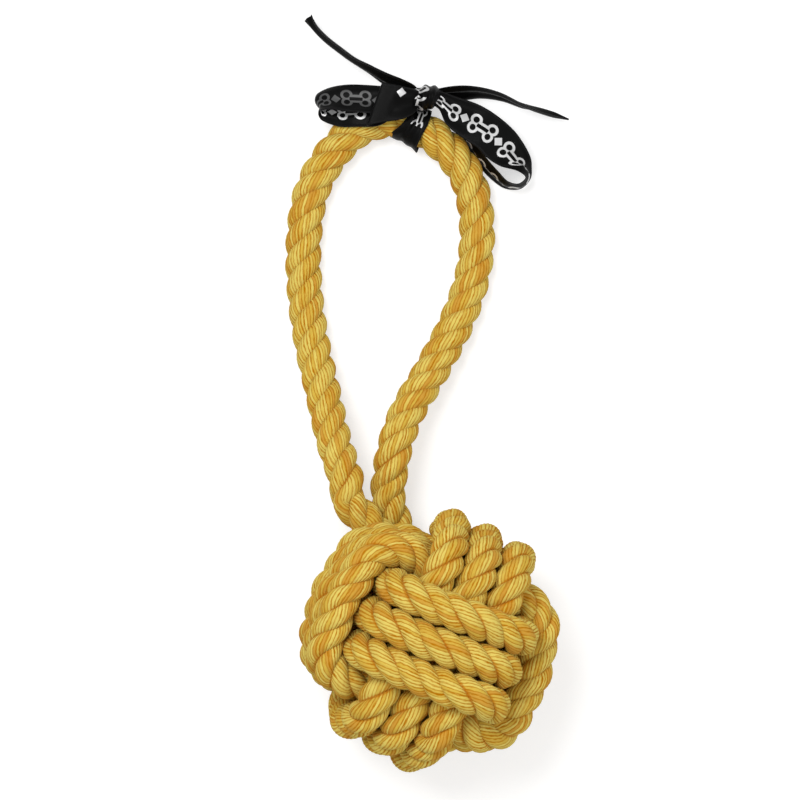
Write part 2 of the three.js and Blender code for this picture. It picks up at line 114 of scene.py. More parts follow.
def curve_points(points, places):
    """Points of the centripetal curve through points, at places from 0 to 1."""
    padded = np.vstack([2 * points[0] - points[1], points, 2 * points[-1] - points[-2]])
    place = np.asarray(places, float) * (len(points) - 1)
    first = np.minimum(place.astype(int), len(points) - 2)
    share = (place - first)[:, None]
    before, start, end, after = (padded[first + k] for k in range(4))
    step_in = np.linalg.norm(start - before, axis=1)[:, None] ** 0.5
    step = np.linalg.norm(end - start, axis=1)[:, None] ** 0.5
    step_out = np.linalg.norm(after - end, axis=1)[:, None] ** 0.5
    leave = (start - before) / step_in - (end - before) / (step_in + step) + (end - start) / step
    arrive = (end - start) / step - (after - start) / (step + step_out) + (after - end) / step_out
    leave, arrive = leave * step, arrive * step
    square = -3 * start + 3 * end - 2 * leave - arrive
    cube = 2 * start - 2 * end + leave + arrive
    return start + share * (leave + share * (square + share * cube))


def arc_lengths(points):
    places = np.linspace(0, 1, len(points) * ARC_DIVISIONS + 1)
    steps = np.diff(curve_points(points, places), axis=0)
    return places, np.concatenate([[0], np.cumsum(np.linalg.norm(steps, axis=1))])


def points_along(points, shares):
    places, lengths = arc_lengths(points)
    return curve_points(points, np.interp(np.asarray(shares) * lengths[-1], lengths, places))


def evenly(points, step):
    length = arc_lengths(points)[1][-1]
    return points_along(points, np.linspace(0, 1, round(length / step) + 1))


# The knot's route: three bands of turns, each square to the others, drawn tight on each other

KNEAD_STEP_SHARE = 0.35  # between the points of the route, of the step from turn to turn
OWN_REACH_SHARE = 1.7  # points of the rope nearer along it than this, of that step, never part
PUSH_SHARE = 1.25  # more than 1 hurries the parting
HELD_POINTS = 2  # at each end of a route
SIDE_BAND_FALL = 0.6  # the band round the sides starts lower on the right by this share of its reach
LEG_IN_SHARE = 1  # the winding's leg runs straight in this far, of the rope's diameter
CORE_LEG_IN_SHARE = 0.5
FIRST_BAND = (-0.15, -TURNS_A_BAND - 0.1, 0)  # from and to so many turns, and its shift sideways
CROSSING_BAND = (0.4, TURNS_A_BAND + 0.3, -0.15)
SIDE_BAND = (-0.2, -TURNS_A_BAND - 0.08, 0.1)
ROUNDS_A_SPACING = 10
TIGHTENING = (80, 0.5)  # rounds, and the share that each point is pulled straight in each
EASING = (200, 0.01)
knead_step = turn_step * KNEAD_STEP_SHARE


def band_route(long, short, sideways, from_turn, to_turn, shift_share):
    count = round(RINGS_A_TURN * abs(to_turn - from_turn))
    share = np.linspace(0, 1, count + 1)
    angle = TAU * (from_turn + share * (to_turn - from_turn))
    reaches = [np.sign(f) * np.abs(f) ** (2 / SQUARENESS) for f in (np.cos(angle), np.sin(angle))]
    offset = turn_step * (TURNS_A_BAND * (share - 0.5) + shift_share)
    route = np.outer(offset, sideways)
    route += np.outer(outer_reach * reaches[0], long)
    return route + np.outer(core_reach * reaches[1], short)


def push_apart(points, route_of, held):
    reach = math.hypot(turn_step, knead_step * math.sqrt(0.5))
    near = math.ceil(OWN_REACH_SHARE / KNEAD_STEP_SHARE)
    squares = np.sum(points**2, axis=1)
    spacing = squares[:, None] + squares[None, :] - 2 * points @ points.T
    first, second = np.nonzero(np.triu(spacing < reach**2, 1))
    apart = (route_of[first] != route_of[second]) | (second - first >= near)
    first, second = first[apart], second[apart]
    between = points[second] - points[first]
    distance = np.linalg.norm(between, axis=1)[:, None]
    between *= (reach - distance) / distance / 2
    pushes = np.zeros_like(points)
    touches = np.zeros(len(points))
    np.add.at(pushes, first, -between)
    np.add.at(pushes, second, between)
    np.add.at(touches, first, 1)
    np.add.at(touches, second, 1)
    moved = ~held & (touches > 0)
    points[moved] += pushes[moved] * (PUSH_SHARE / touches[moved])[:, None]


def end_points(count):
    index = np.arange(count)
    return np.minimum(index, count - 1 - index) < HELD_POINTS


def settle(routes, rounds, pull_share):
    """Draws the lengths of rope tight, keeps them apart, and spaces their points evenly now and then."""
    for count in range(1, rounds + 1):
        route_of = np.repeat(np.arange(len(routes)), [len(route) for route in routes])
        held = np.concatenate([end_points(len(route)) for route in routes])
        points = np.concatenate(routes)
        middle = points.copy()
        middle[1:-1] = (points[:-2] + points[2:]) / 2
        points = np.where(held[:, None], points, points + pull_share * (middle - points))
        push_apart(points, route_of, held)
        cube = np.abs(points @ np.array([along, across, up]).T) ** CORE_SQUARENESS
        reach = cube.sum(axis=1) ** (1 / CORE_SQUARENESS)
        inside = ~held & (reach < core_reach)
        points[inside] *= (core_reach / reach[inside])[:, None]
        points[~held, 2] = np.maximum(points[~held, 2], -outer_reach)
        routes = [points[route_of == k] for k in range(len(routes))]
        if count % ROUNDS_A_SPACING == 0:
            spaced = [evenly(route, knead_step) for route in routes]
            for old, new in zip(routes, spaced):
                new[1], new[-2] = old[1], old[-2]
            routes = spaced
    return routes


def inward(corner):
    reaches = [outer_reach, core_reach, BALL_DIAMETER / 2 + CLEARANCE]
    return np.outer(reaches, corner)


def leg_route(side, inward_share):
    start = np.array([LEG_SHIFT + side * LEG_SPACING / 2, FLEX_REACH, -LEG_DROP - side * LEG_STAGGER / 2])
    return np.array([start, start - [0, KNOT_ROPE_DIAMETER * inward_share, 0]])


def knot_routes():
    lower_corner = unit(across - along - up)
    leaning = along - SIDE_BAND_FALL * up
    winding_seed = np.vstack(
        [
            leg_route(1, LEG_IN_SHARE),
            band_route(across, up, along, *FIRST_BAND),
            band_route(up, along, -across, *CROSSING_BAND),
            band_route(leaning, across, up, *SIDE_BAND),
            inward(-lower_corner),
        ]
    )
    core_leg_seed = np.vstack([leg_route(-1, CORE_LEG_IN_SHARE), inward(lower_corner)])
    seeds = [evenly(winding_seed, knead_step), evenly(core_leg_seed, knead_step)]
    return settle(settle(seeds, *TIGHTENING), *EASING)


winding_route, core_leg_route = knot_routes()

# The row's origin is the point of the knot's underside nearest its middle, on the floor

lowest = winding_route[:, 2].min()
floor_height = lowest - KNOT_ROPE_DIAMETER * (0.5 - FLOOR_CUT_SHARE)
underside = winding_route[winding_route[:, 2] < lowest + KNOT_ROPE_DIAMETER * FLOOR_CUT_SHARE]
nearest = underside[np.argmin(np.hypot(underside[:, 0], underside[:, 1]))]
rest_point = np.array([nearest[0], nearest[1], floor_height])

# The whole rope: from the ball out along the left leg, round the handle, and in through the knot

# Each row: shares of the handle's span and reach, then of the legs' fall and of the lift under the bow.
HANDLE_SHARES = [
    (-0.327, 0.128, 0.8, 0),
    (-0.39, 0.258, 0.44, 0),
    (-0.456, 0.398, 0.14, 0),
    (-0.495, 0.534, 0, 0),
    (-0.501, 0.669, 0, 0),
    (-0.456, 0.804, 0, 0.2),
    (-0.341, 0.904, 0, 0.8),
    (-0.176, 0.977, 0, 1),
    (0.007, 0.999, 0, 1),
    (0.167, 0.977, 0, 1),
    (0.321, 0.923, 0, 0.8),
    (0.435, 0.848, 0, 0.2),
    (0.492, 0.737, 0, 0),
    (0.481, 0.601, 0, 0),
    (0.395, 0.466, 0.1, 0),
    (0.235, 0.317, 0.34, 0),
    (0.087, 0.195, 0.66, 0),
    (0.013, 0.087, 0.88, 0),
]
lying_height = floor_height + ROPE_DIAMETER * (0.5 - FLOOR_CUT_SHARE)
bow_lift = ROPE_DIAMETER * FLOOR_CUT_SHARE + CLEARANCE + RIBBON_THICKNESS


def handle_point(side_share, reach_share, fall_share, lift_share):
    height = lying_height + fall_share * (-LEG_DROP - lying_height) + lift_share * bow_lift
    return (HANDLE_SHIFT + side_share * HANDLE_SPAN, FLEX_REACH + reach_share * HANDLE_REACH, height)


handle_points = np.array([handle_point(*row) for row in HANDLE_SHARES])
flex_count = math.ceil((FLEX_RADIUS + ROPE_DIAMETER) / knead_step)
handle_route = np.vstack([core_leg_route[:flex_count][::-1], handle_points, winding_route[:flex_count]])
handle_route -= rest_point
rope_route = np.vstack([core_leg_route[::-1], handle_points, winding_route]) - rest_point

# Three-strand rope, laid right-handed, each strand of yarns that run nearly along the rope

RING_STEP = 1  # between rings of points along the rope
YARNS = 13
COLUMNS_A_YARN = 3  # lines of points for each yarn of a strand
SIDES = COLUMNS_A_YARN * YARNS
STRANDS = 3
DRAWN_DIAMETER = 15.5  # over the strands' crests in the knot
FREE_DIAMETER = 15.6
KNOT_PITCH = 30  # for one turn of a strand round the rope
FREE_PITCH = 29.5
STRAND_SHARE = 0.24  # half a strand's thickness, of the rope's diameter
STRAND_WIDTH_SHARE = 0.25  # half its width, pressed flat by its neighbours
YARN_SLANT = math.radians(2)  # of the yarns against the rope, towards the strands
YARN_DEPTH = 0.2  # of the grooves between yarns
LEG_TAPER = 50  # the legs thicken to the free rope over this length
SEAM_REACH = 62  # the handle's rope runs on this far into the knot, where turns cover it
SEAM_OVERLAP = 3  # in rings of points

rope_line = evenly(rope_route, RING_STEP)
ring_step = arc_lengths(rope_route)[1][-1] / (len(rope_line) - 1)
run = unit(np.gradient(rope_line, axis=0))


def carried_frame(points, tangents):
    """Normals that turn no more than the line itself does."""
    normals = np.empty_like(points)
    normals[0] = unit(np.cross(tangents[0], up))
    for i in range(len(points) - 1):
        chord = points[i + 1] - points[i]
        square = chord @ chord
        normal = normals[i] - 2 / square * (chord @ normals[i]) * chord
        tangent = tangents[i] - 2 / square * (chord @ tangents[i]) * chord
        turn = tangents[i + 1] - tangent
        normals[i + 1] = normal - 2 / (turn @ turn) * (turn @ normal) * turn
    return unit(normals)


def smooth_step(values, low, high):
    share = np.clip((values - low) / (high - low), 0, 1)
    return share * share * (3 - 2 * share)


normal = carried_frame(rope_line, run)
binormal = np.cross(run, normal)
length_along = np.arange(len(rope_line)) * ring_step
left_flex = (len(core_leg_route) - 1) * knead_step
right_flex = length_along[-1] - (len(winding_route) - 1) * knead_step
freedom = smooth_step(length_along, left_flex, left_flex + LEG_TAPER)
freedom *= 1 - smooth_step(length_along, right_flex - LEG_TAPER, right_flex)
rope_diameter = DRAWN_DIAMETER + (FREE_DIAMETER - DRAWN_DIAMETER) * freedom
pitch = KNOT_PITCH + (FREE_PITCH - KNOT_PITCH) * freedom
lay_rate = TAU / pitch
lay_angle = np.cumsum(lay_rate) * ring_step
strand_reach = rope_diameter * (0.5 - STRAND_SHARE)
lay_slant = np.arctan(strand_reach * lay_rate)
yarn_rate = math.tan(YARN_SLANT) - rope_diameter / 2 * lay_rate
yarn_rate /= np.cos(lay_slant) + np.sin(lay_slant) * math.tan(YARN_SLANT)
yarn_rate /= STRAND_WIDTH_SHARE * rope_diameter
yarn_angle = np.cumsum(yarn_rate) * ring_step


def strand_rings(strand):
    """Rings of points round one strand, whose columns follow the yarns, and each point's lift.

    The lift is 1 on the strand's back, away from the rope's middle, and 0 on its inner side.
    """
    angle = (lay_angle + TAU * strand / STRANDS)[:, None]
    away = np.cos(angle) * normal + np.sin(angle) * binormal
    middle = rope_line + strand_reach[:, None] * away
    tangent = unit(np.gradient(middle, axis=0))
    away = unit(away - np.sum(away * tangent, axis=1)[:, None] * tangent)
    side = np.cross(tangent, away)
    column = np.arange(SIDES)
    phase = TAU * column / SIDES + yarn_angle[:, None]
    depth = YARN_DEPTH * (1 + np.cos(TAU * column / COLUMNS_A_YARN)) / 2
    high = (STRAND_SHARE * rope_diameter[:, None] - depth) * np.cos(phase)
    wide = (STRAND_WIDTH_SHARE * rope_diameter[:, None] - depth) * np.sin(phase)
    rings = middle[:, None, :] + high[..., None] * away[:, None, :]
    rings += wide[..., None] * side[:, None, :]
    rings[..., 2] = np.maximum(rings[..., 2], 0)
    return rings, (1 + np.cos(phase)) / 2


# Meshes

END_CORNERS = 6  # of the two triangles that each column has, one at either end


def mesh_object(name, corners, faces, maps, materials, material_of=None):
    mesh = bpy.data.meshes.new(name)
    mesh.from_pydata((corners * MM).tolist(), [], faces)
    for map_name, uvs in maps.items():
        mesh.uv_layers.new(name=map_name).data.foreach_set("uv", np.asarray(uvs, float).ravel())
    for material in materials:
        mesh.materials.append(material)
    if material_of is not None:
        mesh.polygons.foreach_set("material_index", material_of)
    mesh.shade_smooth()
    mesh.update()
    piece = bpy.data.objects.new(name, mesh)
    bpy.context.collection.objects.link(piece)
    return piece


def tube(rings, lift, strand):
    """Corners and faces of one closed strand, and its two maps.

    The fibre map counts yarns across and millimetres along. The lift map holds each corner's lift.
    """
    count, sides = rings.shape[:2]
    corners = np.vstack([rings.reshape(-1, 3), rings[0].mean(axis=0), rings[-1].mean(axis=0)])
    ring, column = np.meshgrid(np.arange(count - 1), np.arange(sides), indexing="ij")
    ring, column = ring.ravel(), column.ravel()
    after = (column + 1) % sides
    near, far = ring * sides, (ring + 1) * sides
    quads = np.stack([near + column, near + after, far + after, far + column], axis=1)
    across_uv = np.stack([column, column + 1, column + 1, column], axis=1) / COLUMNS_A_YARN
    along_uv = np.stack([ring, ring, ring + 1, ring + 1], axis=1) * RING_STEP
    fibre = np.stack([across_uv + strand * YARNS, along_uv], axis=-1).reshape(-1, 2)
    lifts = np.append(lift.ravel(), [0, 0])
    faces = quads.tolist()
    lift_map = np.stack([lifts[quads], np.zeros(quads.shape)], axis=-1).reshape(-1, 2)
    first_middle, last_middle, last_ring = count * sides, count * sides + 1, (count - 1) * sides
    fibre_ends, lift_ends = [], []
    for k in range(sides):
        following = (k + 1) % sides
        faces.append([first_middle, following, k])
        faces.append([last_middle, last_ring + k, last_ring + following])
        fibre_ends += [[strand * YARNS + k / COLUMNS_A_YARN, 0]] * END_CORNERS
        lift_ends += [[0, 0]] * END_CORNERS
    maps = {"fibre": np.vstack([fibre, fibre_ends]), "lift": np.vstack([lift_map, lift_ends])}
    return corners, faces, maps


def joined(parts):
    corners, faces, offset = [], [], 0
    for part_corners, part_faces, part_maps in parts:
        corners.append(part_corners)
        faces += [[index + offset for index in face] for face in part_faces]
        offset += len(part_corners)
    maps = {name: np.vstack([part_maps[name] for *_, part_maps in parts]) for name in parts[0][2]}
    return np.vstack(corners), faces, maps


# Materials

MIX_FACTOR, MIX_FIRST, MIX_SECOND, MIX_RESULT = 0, 6, 7, 2  # the colour sockets of Blender's Mix node
NOISE_MIDDLE = 0.5  # a noise sways about this


class Nodes:
    """A short way to write the nodes of a material or of the world."""

    def __init__(self, owner, shader):
        owner.use_nodes = True
        self.owner = owner  # the material or the world
        self.tree = owner.node_tree
        self.shader = self.tree.nodes[shader]

    def add(self, kind, inputs=(), **settings):
        node = self.tree.nodes.new(kind)
        for key, value in settings.items():
            setattr(node, key, value)
        for socket, value in dict(inputs).items():
            self.put(node.inputs[socket], value)
        return node

    def put(self, socket, value):
        if isinstance(value, bpy.types.NodeSocket):
            self.tree.links.new(value, socket)
        else:
            socket.default_value = value

    def math(self, operation, first, second=0.0, third=0.0):
        node = self.add("ShaderNodeMath", {0: first, 1: second, 2: third}, operation=operation)
        return node.outputs[0]

    def ramp(self, value, stops):
        node = self.add("ShaderNodeValToRGB", {0: value})
        elements = node.color_ramp.elements
        while len(elements) < len(stops):
            elements.new(1)
        for element, (position, colour) in zip(elements, stops):
            element.position = position
            element.color = (*colour, 1)
        return node.outputs[0]

    def mix(self, factor, first, second):
        node = self.add("ShaderNodeMix", data_type="RGBA")
        self.put(node.inputs[MIX_FACTOR], factor)
        self.put(node.inputs[MIX_FIRST], first)
        self.put(node.inputs[MIX_SECOND], second)
        return node.outputs[MIX_RESULT]

    def uv(self, name):
        place = self.add("ShaderNodeUVMap", uv_map=name).outputs[0]
        split = self.add("ShaderNodeSeparateXYZ", {0: place})
        return split.outputs[0], split.outputs[1]

    def noise(self, across_value, along_value, scales, detail=2.0):
        """Noise from 0 to 1, whose scales are its cells for each step across and along."""
        across_scale, along_scale = scales
        across_place = self.math("MULTIPLY", across_value, across_scale)
        along_place = self.math("MULTIPLY", along_value, along_scale)
        place = self.add("ShaderNodeCombineXYZ", {0: across_place, 1: along_place})
        inputs = {"Vector": place.outputs[0], "Scale": 1.0, "Detail": detail}
        return self.add("ShaderNodeTexNoise", inputs).outputs[0]

    def sway(self, noise, size, value):
        """The value, moved to either side by up to half the size."""
        return self.math("MULTIPLY_ADD", self.math("SUBTRACT", noise, NOISE_MIDDLE), size, value)

    def bump(self, height, distance, strength):
        node = self.add("ShaderNodeBump", {"Height": height, "Distance": distance, "Strength": strength})
        return node.outputs[0]

    def set(self, **sockets):
        for name, value in sockets.items():
            self.put(self.shader.inputs[name.replace("_", " ")], value)


def material_nodes(name):
    return Nodes(bpy.data.materials.new(name), "Principled BSDF")


# Cotton: each noise's scales are its cells for each yarn across and for each millimetre along

HALF_YARN = 0.5
PALE = (0.70, 0.572, 0.13)
GOLD = (0.62, 0.427, 0.063)
TAN = (0.575, 0.305, 0.043)
YARN_GROOVE_SHADE = (0.43, 0.16, 0.001)  # painted shade in the groove between two yarns
STRAND_GAP_SHADE = (0.50, 0.17, 0)  # painted shade in the crevice between two strands
YARN_SHADES = [(0, PALE), (0.36, PALE), (0.48, GOLD), (0.58, GOLD), (0.7, TAN), (1, TAN)]
PICK_STEP = 1.37  # a yarn's number times this picks its shade
PICK_SPREAD = 0.8  # how much the yarns differ in shade
PICK_LEAST = -0.17
EVERY_SECOND = 0.16  # how much darker every second yarn is
DRIFT = 0.8  # how much the shade changes along a yarn
DRIFT_SCALES = (7.3, 0.035)
PATCH = 1.5  # how much it changes from one group of yarns to the next
PATCH_SCALES = (0.31, 0.02)
STRAY = 1.1  # how far the yarns stray sideways, in yarns
STRAY_SCALES = (0.9, 0.07)
FRAY = 0.9  # how far their edges do from one millimetre to the next
FRAY_SCALES = (2.2, 0.8)
SLUB = 0.2  # how much tan the thicker spots of a yarn get
SLUB_SCALES = (2.5, 0.5)
LINE_FROM = 0.2  # the painted groove shade starts this far from a yarn's middle, and is full at the next value
LINE_FULL = 0.48
GROOVE_SHADE_LEAST = 0.15  # the painted groove shade's least strength, where its noise is lowest
# how much a noise changes the painted groove shade's strength
GROOVE_SHADE_SWAY = 1.6
GROOVE_SHADE_SWAY_SCALES = (3.1, 0.08)
STRAND_GAP_SHADE_STOPS = [(0.56, 0.6), (0.58, 0.33), (0.61, 0.08), (0.65, 0)]  # the painted shade's share at each lift, most low on a strand's side where it meets the next strand
FIBRE_HEIGHT = 0.22  # against a yarn's own roundness
FIBRE_SCALES = (9, 1.3)
COTTON_BUMP = 0.4  # the height of a yarn's roundness


def yarn_colour(m, number, along_yarn):
    """Pale yarns with gold and tan ones among them, whose shade drifts along the rope."""
    pick_at = m.math("MULTIPLY", number, PICK_STEP)
    pick = m.add("ShaderNodeTexWhiteNoise", {"W": pick_at}, noise_dimensions="1D").outputs[0]
    shade = m.math("MULTIPLY_ADD", pick, PICK_SPREAD, PICK_LEAST)
    shade = m.math("MULTIPLY_ADD", m.math("MODULO", number, 2.0), EVERY_SECOND, shade)
    shade = m.sway(m.noise(number, along_yarn, DRIFT_SCALES), DRIFT, shade)
    shade = m.sway(m.noise(number, along_yarn, PATCH_SCALES), PATCH, shade)
    return m.ramp(shade, YARN_SHADES)


def cotton_material():
    """Yarns with a brown line of painted shade, of uneven strength, in the groove where two of them meet,
    and dark painted shade where two strands meet.
    """
    m = material_nodes("cotton")
    straight_yarn, along_yarn = m.uv("fibre")
    lift, _ = m.uv("lift")
    yarn = m.sway(m.noise(straight_yarn, along_yarn, STRAY_SCALES), STRAY, straight_yarn)
    yarn = m.sway(m.noise(straight_yarn, along_yarn, FRAY_SCALES, detail=3), FRAY, yarn)
    from_middle = m.math("ABSOLUTE", m.math("SUBTRACT", m.math("FRACT", yarn), HALF_YARN))

    colour = yarn_colour(m, m.math("FLOOR", yarn), along_yarn)
    slub = m.noise(yarn, along_yarn, SLUB_SCALES, detail=4)
    colour = m.mix(m.math("MULTIPLY", slub, SLUB), colour, (*TAN, 1))
    # Painted shade in the groove between two yarns, its strength varied by noise
    edge = {"Value": from_middle, "From Min": LINE_FROM, "From Max": LINE_FULL}
    groove_shade = m.add("ShaderNodeMapRange", edge).outputs[0]
    groove_shade_sway = m.noise(m.math("ROUND", yarn), along_yarn, GROOVE_SHADE_SWAY_SCALES)
    groove_shade = m.math("MULTIPLY", groove_shade, m.math("MULTIPLY_ADD", groove_shade_sway, GROOVE_SHADE_SWAY, GROOVE_SHADE_LEAST))
    colour = m.mix(groove_shade, colour, (*YARN_GROOVE_SHADE, 1))
    # Painted shade where two strands meet, strongest on their inner sides
    strand_gap_shade = m.ramp(lift, [(place, (share,) * 3) for place, share in STRAND_GAP_SHADE_STOPS])
    colour = m.mix(strand_gap_shade, colour, (*STRAND_GAP_SHADE, 1))

    rounded = m.math("SUBTRACT", HALF_YARN**2, m.math("MULTIPLY", from_middle, from_middle))
    fibres = m.noise(yarn, along_yarn, FIBRE_SCALES, detail=6)
    height = m.math("MULTIPLY_ADD", fibres, FIBRE_HEIGHT, rounded)
    m.set(Base_Color=colour, Roughness=0.95, Specular_IOR_Level=0.06)
    m.set(Normal=m.bump(height, COTTON_BUMP * MM, strength=0.8))
    m.set(Sheen_Weight=0.05, Sheen_Roughness=0.5, Sheen_Tint=(1, 0.85, 0.4, 1))
    return m.owner


# Satin: woven ribbon with ribbed selvedges, and a print of bones and diamonds where it has one

SATIN = (0.0015, 0.0015, 0.0015)
SELVEDGE = (0.006, 0.006, 0.0062)
SILVER = (0.5, 0.5, 0.5)
DIM_PRINT = (0.075, 0.075, 0.075)  # a dim grey copy of the print, for the inside of the left loop
RIBBON_WIDTH = 16
SELVEDGE_WIDTH = 0.9  # the woven edge
WEFT_PITCH = 0.34  # of the threads across the ribbon
WEFT_HEIGHT = 0.25  # against the height of the selvedge's ribs
RIB_PITCH = 0.75  # of the selvedge's ribs
SATIN_BUMP = 0.06
SATIN_ROUGHNESS = 0.28
CLOUDING = 0.2  # how much rougher the satin is in places
CLOUD_SCALES = (0.25, 0.25)
PRINT_METAL = 0.5
PRINT_ROUGHNESS = 0.02  # added to the satin's
MOTIF_PITCH = 17.5  # from one bone to the next
BONE_HALF = 3.9  # from a bone's middle to the middles of its knobs, along the ribbon
BONE_SPREAD = 1.8  # from a bone's middle line to the middles of its knobs, across the ribbon
KNOB_RADIUS = 2.5
BAR_HALF = 1.95  # half the width of the bar between the knobs
DIAMOND_HALF = 2.2  # from a diamond's middle to its corners
STROKE = 1.15  # the thickness of a bone's outline
FOLD_PRINT = {"diamond_at": 10.5, "print_side": 5.2, "printed": (8.2, 12.8)}
COLLAR_PRINT = {"diamond_at": 21.5, "print_side": 1, "printed": (26, 36)}


def motif(m, across_mm, along_mm, diamond_at, print_side):
    """1 on a row of bones, drawn as outlines, with a full diamond between each two."""
    turn = m.math("FRACT", m.math("DIVIDE", m.math("SUBTRACT", along_mm, diamond_at), MOTIF_PITCH))
    bone_along = m.math("ABSOLUTE", m.math("MULTIPLY", m.math("SUBTRACT", turn, 0.5), MOTIF_PITCH))
    side = m.math("ABSOLUTE", m.math("SUBTRACT", across_mm, print_side))
    past_bar = m.math("SUBTRACT", bone_along, BONE_HALF)
    from_spread = m.math("SUBTRACT", side, BONE_SPREAD)
    knob_square = m.math("ADD", m.math("POWER", past_bar, 2.0), m.math("POWER", from_spread, 2.0))
    from_knob = m.math("SUBTRACT", m.math("SQRT", knob_square), KNOB_RADIUS)
    from_bar = m.math("MAXIMUM", m.math("SUBTRACT", side, BAR_HALF), past_bar)
    outside = m.math("MINIMUM", from_knob, from_bar)
    inside_stroke = m.math("GREATER_THAN", outside, -STROKE)
    bone = m.math("MULTIPLY", m.math("LESS_THAN", outside, 0.0), inside_stroke)
    diamond_along = m.math("SUBTRACT", MOTIF_PITCH / 2, bone_along)
    diamond = m.math("LESS_THAN", m.math("ADD", diamond_along, side), DIAMOND_HALF)
    return m.math("MAXIMUM", bone, diamond)


def satin_material(name, print_colour=None, diamond_at=0, print_side=0, printed=None):
    """Black satin, with the motif along all of it or, where printed says so, on one stretch."""
    m = material_nodes(name)
    across_mm, along_mm = m.uv("fibre")
    from_edge = m.math("SUBTRACT", RIBBON_WIDTH / 2, m.math("ABSOLUTE", across_mm))
    selvedge = m.math("LESS_THAN", from_edge, SELVEDGE_WIDTH)
    colour = m.mix(selvedge, (*SATIN, 1), (*SELVEDGE, 1))
    weft = m.math("SINE", m.math("MULTIPLY", along_mm, TAU / WEFT_PITCH))
    rib = m.math("SINE", m.math("MULTIPLY", along_mm, TAU / RIB_PITCH))
    height = m.math("MULTIPLY_ADD", weft, WEFT_HEIGHT, m.math("MULTIPLY", rib, selvedge))
    cloud = m.noise(across_mm, along_mm, CLOUD_SCALES, detail=3)
    roughness = m.math("MULTIPLY_ADD", cloud, CLOUDING, SATIN_ROUGHNESS)
    if print_colour:
        ink = motif(m, across_mm, along_mm, diamond_at, print_side)
        if printed:
            ink = m.math("MULTIPLY", ink, m.math("GREATER_THAN", along_mm, printed[0]))
            ink = m.math("MULTIPLY", ink, m.math("LESS_THAN", along_mm, printed[1]))
        colour = m.mix(ink, colour, (*print_colour, 1))
        roughness = m.math("MULTIPLY_ADD", ink, PRINT_ROUGHNESS, roughness)
        m.set(Metallic=m.math("MULTIPLY", ink, PRINT_METAL))
    m.set(Base_Color=colour, Roughness=roughness, Specular_IOR_Level=0.055)
    m.set(Normal=m.bump(height, SATIN_BUMP * MM, strength=0.6))
    return m.owner


# Rubber, for the ball in the knot

RUBBER_DARK = (0.16, 0.11, 0.055)
RUBBER_LIGHT = (0.26, 0.19, 0.10)
RUBBER_SPECKS = 900.0  # cells of noise in a metre
RUBBER_BUMP = 0.2


def rubber_material():
    m = material_nodes("rubber")
    place = m.add("ShaderNodeTexCoord").outputs["Object"]
    inputs = {"Vector": place, "Scale": RUBBER_SPECKS, "Detail": 4.0}
    grain = m.add("ShaderNodeTexNoise", inputs).outputs[0]
    colour = m.ramp(grain, [(0.3, RUBBER_DARK), (0.7, RUBBER_LIGHT)])
    m.set(Base_Color=colour, Roughness=0.75)
    m.set(Normal=m.bump(grain, RUBBER_BUMP * MM, strength=0.5))
    return m.owner


cotton = cotton_material()
satin_front = satin_material("satin_front", SILVER)
# The left loop's inside, with the print in dim grey
satin_inside = satin_material("satin_inside", DIM_PRINT)
satin_back = satin_material("satin_back")
satin_fold = satin_material("satin_fold", SILVER, **FOLD_PRINT)
satin_round = satin_material("satin_round", SILVER, **COLLAR_PRINT)

# Rope pieces: the handle with its legs, and the knot's strands

seam_ring = round((right_flex + SEAM_REACH) / ring_step)
strands = [strand_rings(strand) for strand in range(STRANDS)]


def make_handle_rope():
    end = seam_ring + SEAM_OVERLAP
    parts = [tube(rings[:end], lift[:end], strand) for strand, (rings, lift) in enumerate(strands)]
    piece = mesh_object("rope_handle", *joined(parts), [cotton])
    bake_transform(piece)
    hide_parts("handle_loop")


def make_knot_rope():
    start = seam_ring - SEAM_OVERLAP
    for strand, ((rings, lift), letter) in enumerate(zip(strands, "abc")):
        inside = tube(rings[start:], lift[start:], strand)
        piece = mesh_object(f"rope_knot_strand_{letter}", *inside, [cotton])
        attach(piece, "fist")
        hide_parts("fist_winding", "core_leg")


make_handle_rope()
make_knot_rope()

# Ribbon: a collar round the rope, the bow's knot beside it, and the bow's loops, tails and fold

BOW_SPAN = 91  # over the two loops of the bow
BOW_KNOT_WIDTH = 11
BOW_KNOT_DEPTH = 9
BOW_KNOT_HEIGHT = 14
BOW_KNOT_BED = 2.5  # how deep the collar beds in the back of the bow's knot
BOW_PLACE_SHARE = 0.515  # the collar's middle, along the handle's rope
BOW_KNOT_SIDE_SHARE = 0.34  # the bow's knot beside the collar's middle, of the ribbon's width
BOW_KNOT_LIFT_SHARE = 0.79  # its middle above the floor, of the height that the rope gives the bow
CLOTH = 0.35  # the ribbon's real thickness
FRONT, BACK = 0, 1  # the order of a ribbon's two materials
ACROSS = 24  # faces over the ribbon's width
ROW_STEPS = 8  # rows of faces for each row of shares
LOOP_PLEATS = 1  # over the ribbon's width
TAIL_PLEATS = 1.5
MOST_PLEAT = 1  # how far a pleat may stand out
PLEAT_SHARE = 0.11  # and of the breadth that is left
PLEAT_PHASE = 0.6
PLEAT_EASE = 0.5  # a low power keeps the pleats deep until near the edges

bow_rise = CLEARANCE + RIBBON_THICKNESS + ROPE_DIAMETER
collar_middle = points_along(handle_route, [BOW_PLACE_SHARE])[0]
collar_radius = ROPE_DIAMETER / 2 + CLEARANCE + RIBBON_THICKNESS / 2
knot_stand_off = collar_radius + RIBBON_THICKNESS / 2 + CLEARANCE + BOW_KNOT_DEPTH / 2 - BOW_KNOT_BED
bow_knot_point = np.array(
    [
        collar_middle[0] + RIBBON_WIDTH * BOW_KNOT_SIDE_SHARE,
        collar_middle[1] + knot_stand_off,
        bow_rise * BOW_KNOT_LIFT_SHARE,
    ]
)

